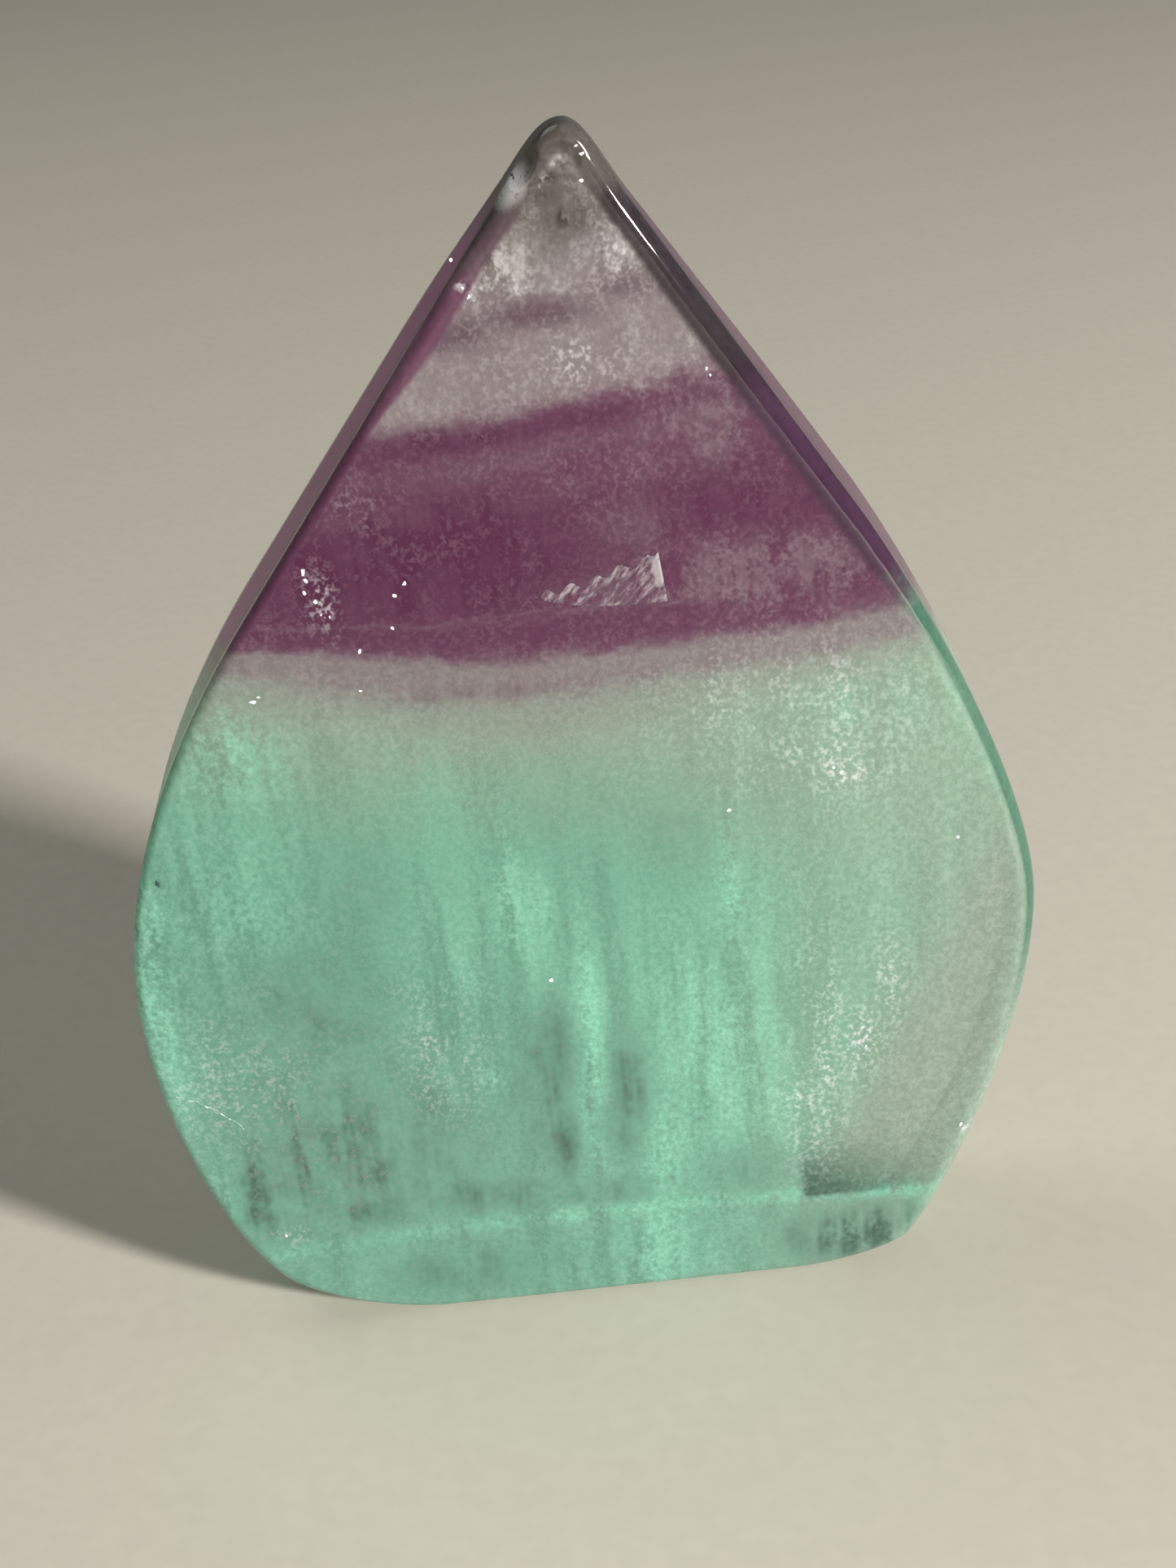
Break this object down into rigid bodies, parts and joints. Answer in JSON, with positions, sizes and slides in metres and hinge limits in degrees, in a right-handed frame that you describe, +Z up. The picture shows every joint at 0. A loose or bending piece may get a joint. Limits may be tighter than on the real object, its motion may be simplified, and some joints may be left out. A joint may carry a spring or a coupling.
{
  "type": "polished fluorite slab",
  "caption": "Clear banded fluorite slab, cut and polished to a flame outline with a chipped tip, that stands upright on its flat-cut foot.",
  "frame": {"origin": "middle of the flat foot's box, on the surface the stone stands on", "axes": "+Z up to the tip, +Y from the broad front face to the back, +X to the right seen from the front"},
  "size_m": [0.06, 0.0132, 0.0826],
  "materials": {
    "fluorite": "polished, clear to milky, purple bands over mint green"
  },
  "bodies": {
    "root": {"fluorite_flame": "fluorite"}
  },
  "joints": []
}
